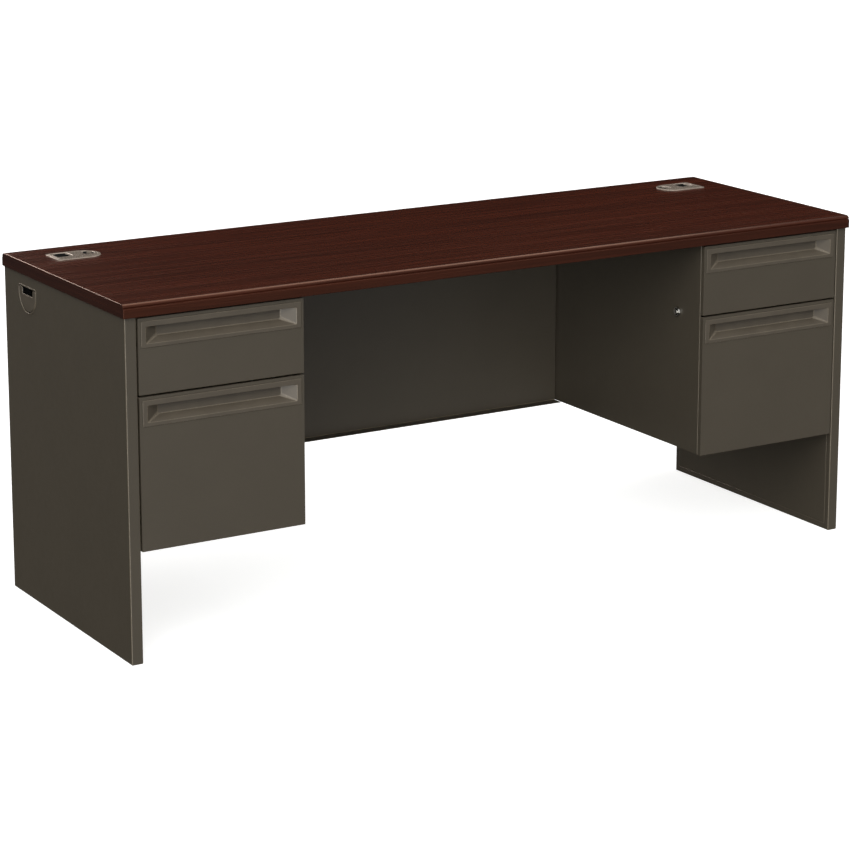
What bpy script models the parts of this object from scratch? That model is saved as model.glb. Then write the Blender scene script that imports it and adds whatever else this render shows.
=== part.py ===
"""Kneespace desk: a laminate worktop on two steel end panels, with a hanging pedestal at each end.

Metres, +Z up. The origin is on the floor under the middle of the worktop. +X is to the right of a
person who faces the drawers, and the drawers open towards -Y. Pieces that come in pairs are written
for the right end of the desk and mirrored in X for the left end.
"""

import math

import bmesh
import bpy
from mathutils import Vector

# Driving dimensions: 72 x 24 x 29.5 inches, with a worktop 1 1/8 inches thick.
WIDTH = 1.8288
DEPTH = 0.6096
HEIGHT = 0.7493
TOP_THICKNESS = 0.0286
TOP_EDGE_RADIUS = 0.011

# Sheet steel, and the play between pieces.
SHEET = 0.0012
DRAWER_SHEET = 0.0010
GAP = 0.0003
REVEAL = 0.0008

# How far a cutting shape runs past the faces that it cuts through.
OVERRUN = 0.0100

# End panels.
PANEL_OUT = 0.9099
PANEL_THICKNESS = 0.0254
PANEL_FRONT = -0.2984
PANEL_BACK = 0.3040
PANEL_LIP = 0.0140

# Pedestals.
KNEE_FACE = 0.5075
PEDESTAL_BOTTOM = 0.2365
PEDESTAL_FRONT = -0.2870
PEDESTAL_BACK_FACE = 0.3030
PAN_DEPTH = 0.0100
HEM = 0.0120
BACK_FLANGE = 0.0110
TOP_RAIL_REACH = 0.0300
TOP_RAIL_DROP = 0.0114

# Modesty panel.
MODESTY_HALF_WIDTH = 0.5040
MODESTY_FACE = 0.2880
MODESTY_BACK = 0.3025
MODESTY_FLANGE = 0.0280

# Drawer fronts, from the knee side to the end panel, and their places in height.
FRONT_KNEE_EDGE = 0.5080
FRONT_WALL_EDGE = 0.8810
FRONT_FACE = -0.2984
FRONT_BACK = -0.2884
FRONT_EDGE_ROUND = 0.0013

# Drawer pulls. Heights are measured down from the top edge of the drawer front.
PULL_WIDTH = 0.3600
PULL_HEIGHT = 0.0535
PULL_DROP = 0.0070
PULL_PROUD = 0.0016
PULL_OPENING_WIDTH = 0.3400
PULL_OPENING_HEIGHT = 0.0350
PULL_TOP_BORDER = 0.0110
PULL_RECESS_DEPTH = 0.0150
PULL_END_SLOPE = 0.0300
PULL_FLOOR_RISE = 0.0120
PULL_ROOF_RISE = 0.0042
PULL_WALL = 0.0015

# Drawer slides: height and depth of the closed slide, and the race that the balls run in.
RAIL_HALF_HEIGHT = 0.0225
RAIL_DEPTH = 0.0127
RAIL_FRONT = -0.2745
BALL_RACE = 0.0020

# Locks, in the knee-side wall between the two drawers.
LOCK_Y = -0.2040
LOCK_Z = 0.5520
LOCK_FLANGE_RADIUS = 0.0110
LOCK_FLANGE_PROUD = 0.0050
LOCK_BARREL_RADIUS = 0.0090
LOCK_BARREL_LENGTH = 0.0210
LOCK_BORE = 0.0064
LOCK_PLUG_PROUD = 0.0025
LOCK_PLUG_TAIL = 0.0015
LOCK_PLUG_CHAMFER = 0.0008
KEYWAY_WIDTH = 0.0022
KEYWAY_HEIGHT = 0.0080
KEYWAY_DEPTH = 0.0120
CAM_REACH = 0.0120
CAM_HUB_RADIUS = 0.0070
CAM_TIP_RADIUS = 0.0040
CAM_THICKNESS = 0.0020
CAM_PIN_RADIUS = 0.0015
BAR_THICKNESS = 0.0020
BAR_BEHIND_CAM = 0.0006
BAR_BELOW_AXIS = 0.0180
BAR_ABOVE_AXIS = 0.0060
BAR_AHEAD_OF_AXIS = 0.0150
BAR_END = 0.1600
HOOK_START = -0.1200
HOOK_WIDTH = 0.0140
HOOK_CLEARANCE = 0.0030
PIN_SLOT_AHEAD = 0.0019
PIN_SLOT_BEHIND = 0.0047
PIN_SLOT_MARGIN = 0.0020

# Grommets.
GROMMET_X = 0.7920
GROMMET_Y = 0.1935
GROMMET_HALF_LENGTH = 0.0550
GROMMET_HALF_DEPTH = 0.0395
GROMMET_PROUD = 0.0018
GROMMET_LEDGE = 0.0040
GROMMET_RIM = 0.0055
GROMMET_HOLE_INSET = 0.0042
GROMMET_CORNER = 0.0100
GROMMET_EDGE_ROUND = 0.0008
GROMMET_SLEEVE_WALL = 0.0025
GROMMET_SKIRT = 0.0120
SIDE_GROMMET_Y = 0.1805
SIDE_GROMMET_TOP = 0.6970
SIDE_GROMMET_RADIUS = 0.0460
SIDE_GROMMET_HEIGHT = 0.0600
SIDE_GROMMET_CORNER = 0.0055
SIDE_GROMMET_PROUD = 0.0016
SIDE_GROMMET_RIM = 0.0045
SIDE_GROMMET_SLEEVE = 0.0030
SIDE_GROMMET_CHAMFER = (0.0008, 0.0006)
SIDE_COVER_PROUD = 0.0008
SIDE_COVER_THICKNESS = 0.0030
SIDE_COVER_PLAY = 0.0004
SIDE_SLOT_HALF_WIDTH = 0.0250
SIDE_SLOT_DEPTH = 0.0180

# The two openings in a grommet's cap: opposite corners from the grommet's centre, with x towards
# the end of the desk, and the corner radius.
CAP_OPENINGS = {
    "outer": ((0.008, -0.006), (0.042, 0.031), 0.004),
    "inner": ((-0.045, -0.006), (-0.020, 0.026), 0.009),
}

UNDERSIDE = HEIGHT - TOP_THICKNESS
FRAME_TOP = UNDERSIDE - GAP
PANEL_IN = PANEL_OUT - PANEL_THICKNESS
KNEE_INSIDE = KNEE_FACE + SHEET
KNEE_RAIL_WALL = KNEE_INSIDE + GAP
WALL_RAIL_WALL = PANEL_IN - GAP
TRAY_KNEE = KNEE_RAIL_WALL + RAIL_DEPTH + GAP
TRAY_WALL = WALL_RAIL_WALL - RAIL_DEPTH - GAP

SIDES = {"left": -1.0, "right": 1.0}

# Each drawer: its front's bottom and top, its tray's bottom, top and back, its slide's height and
# length, and whether the slide has a middle member for full extension.
DRAWERS = {
    "box": {
        "front": (0.5595, 0.7170),
        "tray": (0.5720, 0.6630),
        "tray_back": 0.1180,
        "rail_z": 0.6175,
        "rail_length": 0.3900,
        "full_extension": False,
    },
    "file": {
        "front": (0.2350, 0.5555),
        "tray": (0.2495, 0.5030),
        "tray_back": 0.2200,
        "rail_z": 0.3750,
        "rail_length": 0.4900,
        "full_extension": True,
    },
}


# ---------------------------------------------------------------- building blocks


def clear_scene():
    for obj in list(bpy.data.objects):
        bpy.data.objects.remove(obj)


def finish(name, colour, roughness, metallic):
    """A Principled BSDF material."""
    material = bpy.data.materials.new(name)
    material.use_nodes = True
    shader = material.node_tree.nodes["Principled BSDF"]
    shader.inputs["Base Color"].default_value = (*colour, 1.0)
    shader.inputs["Roughness"].default_value = roughness
    shader.inputs["Metallic"].default_value = metallic
    return material


def solid(name, loops, material, side=1.0, pivot=None, ring=False, smooth=False):
    """A closed solid through loops of points, each with as many points as the first.

    Its two ends are closed with a flat face, or joined to each other to make a ring. side is -1 for
    the mirror image in X. A pivot is an empty on a joint's axis, which the solid becomes a child of.
    """
    mesh = bmesh.new()
    rows = [[mesh.verts.new((side * x, y, z)) for x, y, z in loop] for loop in loops]
    pairs = list(zip(rows, rows[1:]))
    if ring:
        pairs.append((rows[-1], rows[0]))
    else:
        mesh.faces.new(rows[0])
        mesh.faces.new(rows[-1])
    for lower, upper in pairs:
        for i in range(len(lower)):
            j = (i + 1) % len(lower)
            mesh.faces.new((lower[i], lower[j], upper[j], upper[i]))
    bmesh.ops.recalc_face_normals(mesh, faces=mesh.faces)
    origin = pivot.location if pivot else Vector((0.0, 0.0, 0.0))
    bmesh.ops.translate(mesh, verts=mesh.verts, vec=-origin)
    data = bpy.data.meshes.new(name)
    mesh.to_mesh(data)
    mesh.free()
    data.materials.append(material)
    if smooth:
        data.shade_smooth()
        data.set_sharp_from_angle(angle=math.radians(40.0))
    obj = bpy.data.objects.new(name, data)
    bpy.context.scene.collection.objects.link(obj)
    obj.parent = pivot
    return obj


def joint_empty(name, location):
    """An empty on a joint's axis, the parent of the pieces that move with it."""
    empty = bpy.data.objects.new(name, None)
    empty.location = location
    bpy.context.scene.collection.objects.link(empty)
    return empty


def combine(target, tool, operation):
    """Cuts a tool away from the target, or joins it on, with an exact Boolean."""
    tool.hide_render = True
    tool.display_type = "WIRE"
    modifier = target.modifiers.new(tool.name, "BOOLEAN")
    modifier.solver = "EXACT"
    modifier.operation = operation
    modifier.object = tool


def at_x(points, x):
    """(y, z) points placed in the plane at x."""
    return [(x, y, z) for y, z in points]


def at_y(points, y):
    """(x, z) points placed in the plane at y."""
    return [(x, y, z) for x, z in points]


def at_z(points, z):
    """(x, y) points placed in the plane at z."""
    return [(x, y, z) for x, y in points]


def rectangle(low, high, inset=0.0):
    """The corners of the rectangle between two opposite corners, drawn in on every side."""
    (a, b), (c, d) = low, high
    a, b, c, d = a + inset, b + inset, c - inset, d - inset
    return [(a, b), (c, b), (c, d), (a, d)]


def arc(centre, radius, start, end, steps):
    """Points on an arc, from one angle in degrees to another."""
    points = []
    for i in range(steps + 1):
        angle = math.radians(start + (end - start) * i / steps)
        points.append((centre[0] + radius * math.cos(angle), centre[1] + radius * math.sin(angle)))
    return points


def rounded_rectangle(low, high, radius, steps=3):
    """A rectangle between two opposite corners, with round corners."""
    (a, b), (c, d) = low, high
    points = arc((c - radius, b + radius), radius, -90, 0, steps)
    points += arc((c - radius, d - radius), radius, 0, 90, steps)
    points += arc((a + radius, d - radius), radius, 90, 180, steps)
    points += arc((a + radius, b + radius), radius, 180, 270, steps)
    return points


def turned(profile, steps=24):
    """Loops of a solid turned about the lock's axis, along X, from (x, radius) points."""
    loops = []
    for x, radius in profile:
        circle = arc((LOCK_Y, LOCK_Z), radius, 0, 360 - 360 / steps, steps - 1)
        loops.append(at_x(circle, x))
    return loops


def open_box(low, high, wall):
    """Loops of a box open at its top, from its inside floor up, over the rim and down outside."""
    inner = rectangle(low[:2], high[:2], wall)
    outer = rectangle(low[:2], high[:2])
    heights = ((inner, low[2] + wall), (inner, high[2]), (outer, high[2]), (outer, low[2]))
    return [at_z(points, z) for points, z in heights]


# ---------------------------------------------------------------- worktop and grommets


def worktop(material):
    """A slab of constant section: square under, with a round upper edge at the front and back."""
    half = DEPTH / 2
    radius = TOP_EDGE_RADIUS
    section = [(half, UNDERSIDE), (-half, UNDERSIDE)]
    section += arc((-half + radius, HEIGHT - radius), radius, 180, 90, 6)
    section += arc((half - radius, HEIGHT - radius), radius, 90, 0, 6)
    top = solid("worktop", [at_x(section, x) for x in (-WIDTH / 2, WIDTH / 2)], material)
    for side_name, side in SIDES.items():
        outline = grommet_outline(GROMMET_HOLE_INSET)
        loops = [at_z(outline, z) for z in (UNDERSIDE - OVERRUN, HEIGHT + OVERRUN)]
        combine(top, solid(f"{side_name}_grommet_hole", loops, material, side), "DIFFERENCE")


def grommet_outline(inset):
    """A grommet's outline in plan: square towards the end of the desk, round towards the middle."""
    length = GROMMET_HALF_LENGTH - inset
    depth = GROMMET_HALF_DEPTH - inset
    corner = GROMMET_CORNER - inset * 0.8
    x, y = GROMMET_X, GROMMET_Y
    points = arc((x + length - corner, y - depth + corner), corner, -90, 0, 3)
    points += arc((x + length - corner, y + depth - corner), corner, 0, 90, 3)
    points += arc((x - length + depth, y), depth, 90, 270, 16)
    return points


def grommet(side_name, side, material):
    """A sleeve through the worktop with a flange over the hole, and a cap that drops into it."""
    flange_top = HEIGHT + GROMMET_PROUD
    ledge = HEIGHT - GROMMET_LEDGE
    sleeve_wall = GROMMET_HOLE_INSET + GAP
    sleeve_inside = sleeve_wall + GROMMET_SLEEVE_WALL
    steps = (
        (0.0, HEIGHT + GAP),
        (0.0, flange_top - GROMMET_EDGE_ROUND),
        (GROMMET_EDGE_ROUND, flange_top),
        (GROMMET_RIM, flange_top),
        (GROMMET_RIM, ledge),
        (sleeve_inside, ledge),
        (sleeve_inside, UNDERSIDE),
        (sleeve_wall, UNDERSIDE),
        (sleeve_wall, HEIGHT + GAP),
    )
    loops = [at_z(grommet_outline(inset), z) for inset, z in steps]
    solid(f"{side_name}_grommet_sleeve", loops, material, side, ring=True, smooth=True)

    pivot = joint_empty(f"{side_name}_grommet_cap_axis", (side * GROMMET_X, GROMMET_Y, HEIGHT))
    skirt = sleeve_inside + GAP
    edge = GROMMET_RIM + GAP
    steps = (
        (skirt, HEIGHT - GROMMET_SKIRT),
        (skirt, ledge + GAP),
        (edge, ledge + GAP),
        (edge, flange_top - GROMMET_EDGE_ROUND),
        (edge + GROMMET_EDGE_ROUND, flange_top),
    )
    loops = [at_z(grommet_outline(inset), z) for inset, z in steps]
    name = f"{side_name}_grommet_cap"
    cap = solid(name, loops, material, side, pivot, smooth=True)
    for label, (low, high, radius) in CAP_OPENINGS.items():
        low = (GROMMET_X + low[0], GROMMET_Y + low[1])
        high = (GROMMET_X + high[0], GROMMET_Y + high[1])
        outline = rounded_rectangle(low, high, radius)
        loops = [at_z(outline, z) for z in (UNDERSIDE, HEIGHT + OVERRUN)]
        combine(cap, solid(f"{name}_{label}_hole", loops, material, side), "DIFFERENCE")


# ---------------------------------------------------------------- end panels


def side_grommet_outline(inset):
    """The end panel's cable port in (y, z): flat along the top and half round below."""
    radius = SIDE_GROMMET_RADIUS - inset
    top = SIDE_GROMMET_TOP - inset
    centre = SIDE_GROMMET_TOP - SIDE_GROMMET_HEIGHT + SIDE_GROMMET_RADIUS
    corner = SIDE_GROMMET_CORNER - inset
    y = SIDE_GROMMET_Y
    points = arc((y + radius - corner, top - corner), corner, 0, 90, 2)
    points += arc((y - radius + corner, top - corner), corner, 90, 180, 2)
    points += arc((y, centre), radius, 180, 360, 18)
    return points


def end_panel(side_name, side, material):
    """An outer pan whose lip returns round all four edges, and a liner that closes its inner face."""
    low, high = (PANEL_FRONT, 0.0), (PANEL_BACK, FRAME_TOP)
    steps = (
        (SHEET, PANEL_OUT - SHEET),
        (SHEET, PANEL_IN + SHEET),
        (PANEL_LIP, PANEL_IN + SHEET),
        (PANEL_LIP, PANEL_IN),
        (0.0, PANEL_IN),
        (0.0, PANEL_OUT),
    )
    loops = [at_x(rectangle(low, high, inset), x) for inset, x in steps]
    panel = solid(f"{side_name}_end_panel", loops, material, side)

    behind_lip = PANEL_IN + SHEET + GAP
    raised = PANEL_LIP + REVEAL
    steps = (
        (raised + SHEET, PANEL_IN + SHEET),
        (raised + SHEET, behind_lip + SHEET),
        (SHEET + GAP, behind_lip + SHEET),
        (SHEET + GAP, behind_lip),
        (raised, behind_lip),
        (raised, PANEL_IN),
    )
    loops = [at_x(rectangle(low, high, inset), x) for inset, x in steps]
    liner = solid(f"{side_name}_end_liner", loops, material, side)
    return panel, liner


def side_grommet(panel, liner, steel, plastic):
    """The cable port through the left end panel: a sleeve, and a cover with a slot along its top."""
    hole = side_grommet_outline(SIDE_GROMMET_SLEEVE - GAP)
    for piece in (panel, liner):
        loops = [at_x(hole, x) for x in (PANEL_IN - OVERRUN, PANEL_OUT + OVERRUN)]
        combine(piece, solid(f"{piece.name}_port", loops, steel, -1.0), "DIFFERENCE")

    outer_face = PANEL_OUT + SIDE_GROMMET_PROUD
    chamfer_width, chamfer_depth = SIDE_GROMMET_CHAMFER
    steps = (
        (0.0, PANEL_OUT + GAP),
        (0.0, outer_face - chamfer_depth),
        (chamfer_width, outer_face),
        (SIDE_GROMMET_RIM, outer_face),
        (SIDE_GROMMET_RIM, PANEL_IN),
        (SIDE_GROMMET_SLEEVE, PANEL_IN),
        (SIDE_GROMMET_SLEEVE, PANEL_OUT + GAP),
    )
    loops = [at_x(side_grommet_outline(inset), x) for inset, x in steps]
    solid("side_grommet_sleeve", loops, plastic, -1.0, ring=True, smooth=True)

    face = PANEL_OUT + SIDE_COVER_PROUD
    location = (-PANEL_OUT, SIDE_GROMMET_Y, SIDE_GROMMET_TOP - SIDE_GROMMET_RADIUS)
    pivot = joint_empty("side_grommet_cover_axis", location)
    outline = side_grommet_outline(SIDE_GROMMET_RIM + SIDE_COVER_PLAY)
    loops = [at_x(outline, x) for x in (face - SIDE_COVER_THICKNESS, face)]
    cover = solid("side_grommet_cover", loops, plastic, -1.0, pivot)
    low = (SIDE_GROMMET_Y - SIDE_SLOT_HALF_WIDTH, SIDE_GROMMET_TOP - SIDE_SLOT_DEPTH)
    high = (SIDE_GROMMET_Y + SIDE_SLOT_HALF_WIDTH, SIDE_GROMMET_TOP + OVERRUN)
    loops = [at_x(rectangle(low, high), x) for x in (face - OVERRUN, face + OVERRUN)]
    combine(cover, solid("side_grommet_slot", loops, plastic, -1.0), "DIFFERENCE")


# ---------------------------------------------------------------- pedestals and modesty panel


def pedestal(side_name, side, steel):
    """The pedestal's knee-side wall, bottom pan, back pan and front top rail."""
    back = PEDESTAL_BACK_FACE - PAN_DEPTH - GAP
    plan = [
        (KNEE_FACE, PEDESTAL_FRONT),
        (KNEE_INSIDE + SHEET, PEDESTAL_FRONT),
        (KNEE_INSIDE + SHEET, PEDESTAL_FRONT + HEM),
        (KNEE_INSIDE, PEDESTAL_FRONT + HEM),
        (KNEE_INSIDE, back - SHEET),
        (KNEE_INSIDE + BACK_FLANGE, back - SHEET),
        (KNEE_INSIDE + BACK_FLANGE, back),
        (KNEE_FACE, back),
    ]
    loops = [at_z(plan, z) for z in (PEDESTAL_BOTTOM, FRAME_TOP)]
    wall = solid(f"{side_name}_pedestal_wall", loops, steel, side)
    radius = LOCK_BARREL_RADIUS + GAP
    hole = turned([(KNEE_FACE - OVERRUN, radius), (KNEE_INSIDE + OVERRUN, radius)])
    combine(wall, solid(f"{side_name}_lock_hole", hole, steel, side), "DIFFERENCE")

    inner_edge = KNEE_INSIDE + SHEET + GAP
    low = (inner_edge, PEDESTAL_FRONT, PEDESTAL_BOTTOM)
    high = (WALL_RAIL_WALL, back - SHEET - GAP, PEDESTAL_BOTTOM + PAN_DEPTH)
    solid(f"{side_name}_pedestal_bottom", open_box(low, high, SHEET), steel, side)

    low, high = (KNEE_FACE, PEDESTAL_BOTTOM), (WALL_RAIL_WALL, FRAME_TOP)
    steps = (
        (SHEET, PEDESTAL_BACK_FACE - SHEET),
        (SHEET, PEDESTAL_BACK_FACE - PAN_DEPTH),
        (0.0, PEDESTAL_BACK_FACE - PAN_DEPTH),
        (0.0, PEDESTAL_BACK_FACE),
    )
    loops = [at_y(rectangle(low, high, inset), y) for inset, y in steps]
    solid(f"{side_name}_pedestal_back", loops, steel, side)

    front = PEDESTAL_FRONT
    rear = PEDESTAL_FRONT + TOP_RAIL_REACH
    lower = FRAME_TOP - TOP_RAIL_DROP
    section = [
        (front, lower),
        (front + SHEET, lower),
        (front + SHEET, FRAME_TOP - SHEET),
        (rear, FRAME_TOP - SHEET),
        (rear, FRAME_TOP),
        (front, FRAME_TOP),
    ]
    loops = [at_x(section, x) for x in (inner_edge, WALL_RAIL_WALL)]
    solid(f"{side_name}_top_rail", loops, steel, side)


def modesty_panel(steel):
    """A flat hollow panel between the pedestals, with a flange along its foot into the kneespace."""
    half = MODESTY_HALF_WIDTH
    low, high = (-half, MODESTY_FACE, PEDESTAL_BOTTOM), (half, MODESTY_BACK, FRAME_TOP)
    panel = solid("modesty_panel", open_box(low, high, SHEET), steel)
    edge = MODESTY_FACE - MODESTY_FLANGE
    plan = rectangle((-half, edge), (half, MODESTY_FACE + SHEET / 2))
    loops = [at_z(plan, z) for z in (PEDESTAL_BOTTOM, PEDESTAL_BOTTOM + SHEET)]
    combine(panel, solid("modesty_flange", loops, steel), "UNION")


# ---------------------------------------------------------------- drawers


def drawer_front(name, kind, side, pivot, steel):
    """A shallow pan, open behind, with a window for the pull's recess."""
    bottom, top = DRAWERS[kind]["front"]
    low, high = (FRONT_KNEE_EDGE, bottom), (FRONT_WALL_EDGE, top)
    steps = (
        (DRAWER_SHEET, FRONT_FACE + DRAWER_SHEET),
        (DRAWER_SHEET, FRONT_BACK),
        (0.0, FRONT_BACK),
        (0.0, FRONT_FACE + FRONT_EDGE_ROUND),
        (FRONT_EDGE_ROUND * 0.3, FRONT_FACE + FRONT_EDGE_ROUND * 0.3),
        (FRONT_EDGE_ROUND, FRONT_FACE),
    )
    loops = [at_y(rectangle(low, high, inset), y) for inset, y in steps]
    front = solid(name, loops, steel, side, pivot)
    low, high = pull_opening(kind)
    window = rectangle(low, high, -0.0020)
    loops = [at_y(window, y) for y in (FRONT_FACE - OVERRUN, FRONT_FACE + OVERRUN / 2)]
    combine(front, solid(f"{name}_window", loops, steel, side), "DIFFERENCE")


def pull_opening(kind):
    """Opposite corners, in (x, z), of the opening in a drawer's pull."""
    middle = (FRONT_KNEE_EDGE + FRONT_WALL_EDGE) / 2
    top = DRAWERS[kind]["front"][1] - PULL_DROP - PULL_TOP_BORDER
    low = (middle - PULL_OPENING_WIDTH / 2, top - PULL_OPENING_HEIGHT)
    return low, (middle + PULL_OPENING_WIDTH / 2, top)


def drawer_pull(name, kind, side, pivot, plastic):
    """A plate with a moulded finger recess, which slopes in at the ends and along its floor."""
    middle = (FRONT_KNEE_EDGE + FRONT_WALL_EDGE) / 2
    top = DRAWERS[kind]["front"][1] - PULL_DROP
    plate_low = (middle - PULL_WIDTH / 2, top - PULL_HEIGHT)
    plate_high = (middle + PULL_WIDTH / 2, top)
    open_low, open_high = pull_opening(kind)
    back_low = (open_low[0] + PULL_END_SLOPE, open_low[1] + PULL_FLOOR_RISE)
    back_high = (open_high[0] - PULL_END_SLOPE, open_high[1] + PULL_ROOF_RISE)
    face, seat = FRONT_FACE - PULL_PROUD, FRONT_FACE - GAP
    recess = FRONT_FACE + PULL_RECESS_DEPTH

    def grown(low, high, by):
        return (low[0] - by, low[1] - by), (high[0] + by, high[1] + by)

    stations = (
        (back_low, back_high, 0.0060, recess),
        (open_low, open_high, 0.0030, face),
        (*grown(plate_low, plate_high, -0.0007), 0.0015, face),
        (plate_low, plate_high, 0.0020, face + 0.0006),
        (plate_low, plate_high, 0.0020, seat),
        (*grown(open_low, open_high, PULL_WALL), 0.0040, seat),
        (*grown(back_low, back_high, PULL_WALL), 0.0070, recess + PULL_WALL),
    )
    loops = [at_y(rounded_rectangle(low, high, radius), y) for low, high, radius, y in stations]
    solid(name, loops, plastic, side, pivot)


def rail_section(web, lip, half_height):
    """A C section in (distance from the wall, height): its web, and where its two lips end."""
    inside = half_height - SHEET
    back = web + SHEET if lip > web else web - SHEET
    return [
        (web, -half_height),
        (lip, -half_height),
        (lip, -inside),
        (back, -inside),
        (back, inside),
        (lip, inside),
        (lip, half_height),
        (web, half_height),
    ]


def drawer_rails(prefix, kind, side, drawer_pivot, steel):
    """Both telescoping slides of a drawer: cabinet rail, middle rail where it has one, drawer rail."""
    drawer = DRAWERS[kind]
    middle_half = RAIL_HALF_HEIGHT - SHEET - BALL_RACE
    inner_half = middle_half - SHEET - BALL_RACE
    sections = {
        "cabinet": rail_section(0.0, 0.0095, RAIL_HALF_HEIGHT),
        "drawer": rail_section(RAIL_DEPTH, 0.0030, middle_half),
    }
    if drawer["full_extension"]:
        sections["middle"] = rail_section(0.0020, 0.0108, middle_half)
        sections["drawer"] = rail_section(RAIL_DEPTH, 0.0050, inner_half)
    ends = (RAIL_FRONT, RAIL_FRONT + drawer["rail_length"])
    for place, wall, inwards in (("knee", KNEE_RAIL_WALL, 1.0), ("wall", WALL_RAIL_WALL, -1.0)):
        for member, section in sections.items():
            pivot = None
            if member == "drawer":
                pivot = drawer_pivot
            if member == "middle":
                location = (side * wall, RAIL_FRONT, drawer["rail_z"])
                pivot = joint_empty(f"{prefix}_{place}_middle_axis", location)
            points = [(wall + inwards * d, drawer["rail_z"] + z) for d, z in section]
            loops = [at_y(points, y) for y in ends]
            solid(f"{prefix}_{place}_{member}_rail", loops, steel, side, pivot)


def drawer(side_name, side, kind, steel, plastic, zinc):
    bottom, top = DRAWERS[kind]["front"]
    prefix = f"{side_name}_{kind}"
    centre = side * (FRONT_KNEE_EDGE + FRONT_WALL_EDGE) / 2
    pivot = joint_empty(f"{prefix}_drawer_axis", (centre, FRONT_FACE, (bottom + top) / 2))
    drawer_front(f"{prefix}_drawer_front", kind, side, pivot, steel)
    drawer_pull(f"{prefix}_drawer_pull", kind, side, pivot, plastic)
    tray_bottom, tray_top = DRAWERS[kind]["tray"]
    low = (TRAY_KNEE, FRONT_BACK + GAP, tray_bottom)
    high = (TRAY_WALL, DRAWERS[kind]["tray_back"], tray_top)
    solid(f"{prefix}_drawer_tray", open_box(low, high, DRAWER_SHEET), steel, side, pivot)
    drawer_rails(prefix, kind, side, pivot, zinc)


# ---------------------------------------------------------------- locks


def lock(side_name, side, chrome, zinc):
    """A cylinder lock whose cam, a quarter turn, pushes a bar back between the two drawers."""
    face = KNEE_FACE - LOCK_FLANGE_PROUD
    barrel_end = KNEE_FACE + LOCK_BARREL_LENGTH
    profile = (
        (barrel_end, LOCK_BARREL_RADIUS),
        (KNEE_FACE - GAP, LOCK_BARREL_RADIUS),
        (KNEE_FACE - GAP, LOCK_FLANGE_RADIUS),
        (face + 0.0010, LOCK_FLANGE_RADIUS),
        (face, LOCK_FLANGE_RADIUS - 0.0010),
        (face, LOCK_BORE),
        (barrel_end, LOCK_BORE),
    )
    name = f"{side_name}_lock_housing"
    solid(name, turned(profile), chrome, side, ring=True, smooth=True)

    plug_radius = LOCK_BORE - GAP
    plug_face = face - LOCK_PLUG_PROUD
    plug_end = barrel_end + LOCK_PLUG_TAIL
    pivot = joint_empty(f"{side_name}_lock_axis", (side * KNEE_FACE, LOCK_Y, LOCK_Z))
    profile = (
        (plug_face, plug_radius - LOCK_PLUG_CHAMFER),
        (plug_face + LOCK_PLUG_CHAMFER, plug_radius),
        (plug_end, plug_radius),
    )
    plug = solid(f"{side_name}_lock_plug", turned(profile), chrome, side, pivot, smooth=True)
    low = (LOCK_Y - KEYWAY_WIDTH / 2, LOCK_Z - KEYWAY_HEIGHT / 2)
    high = (LOCK_Y + KEYWAY_WIDTH / 2, LOCK_Z + KEYWAY_HEIGHT / 2)
    slot = rectangle(low, high)
    loops = [at_x(slot, x) for x in (plug_face - OVERRUN, plug_face + KEYWAY_DEPTH)]
    combine(plug, solid(f"{side_name}_keyway", loops, chrome, side), "DIFFERENCE")

    cam_near = plug_end + GAP
    cam_far = cam_near + CAM_THICKNESS
    outline = arc((LOCK_Y, LOCK_Z), CAM_HUB_RADIUS, 0, 180, 8)
    outline += arc((LOCK_Y, LOCK_Z - CAM_REACH), CAM_TIP_RADIUS, 180, 360, 6)
    loops = [at_x(outline, x) for x in (cam_near, cam_far)]
    cam = solid(f"{side_name}_lock_cam", loops, zinc, side, pivot)
    bar_near = cam_far + BAR_BEHIND_CAM
    bar_far = bar_near + BAR_THICKNESS
    pin = arc((LOCK_Y, LOCK_Z - CAM_REACH), CAM_PIN_RADIUS, 0, 330, 11)
    loops = [at_x(pin, x) for x in (cam_far - CAM_THICKNESS / 2, bar_far + 0.0010)]
    combine(cam, solid(f"{side_name}_cam_pin", loops, zinc, side), "UNION")

    # The bar's two hooks stop short of the trays above and below it.
    low, high = LOCK_Z - BAR_BELOW_AXIS, LOCK_Z + BAR_ABOVE_AXIS
    hook_up = DRAWERS["box"]["tray"][0] - HOOK_CLEARANCE
    hook_down = DRAWERS["file"]["tray"][1] + HOOK_CLEARANCE
    start, hook_end = LOCK_Y - BAR_AHEAD_OF_AXIS, HOOK_START + HOOK_WIDTH
    outline = [
        (start, low),
        (HOOK_START, low),
        (HOOK_START, hook_down),
        (hook_end, hook_down),
        (hook_end, low),
        (BAR_END, low),
        (BAR_END, high),
        (hook_end, high),
        (hook_end, hook_up),
        (HOOK_START, hook_up),
        (HOOK_START, high),
        (start, high),
    ]
    location = (side * bar_near, LOCK_Y, LOCK_Z)
    bar_pivot = joint_empty(f"{side_name}_lock_bar_axis", location)
    loops = [at_x(outline, x) for x in (bar_near, bar_far)]
    bar = solid(f"{side_name}_lock_bar", loops, zinc, side, bar_pivot)
    slot_low = (LOCK_Y - PIN_SLOT_AHEAD, LOCK_Z - CAM_REACH - PIN_SLOT_MARGIN)
    slot_high = (LOCK_Y + PIN_SLOT_BEHIND, LOCK_Z + PIN_SLOT_MARGIN)
    slot = rectangle(slot_low, slot_high)
    loops = [at_x(slot, x) for x in (bar_near - OVERRUN, bar_far + OVERRUN)]
    combine(bar, solid(f"{side_name}_lock_bar_slot", loops, zinc, side), "DIFFERENCE")


# ---------------------------------------------------------------- the desk


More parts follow.
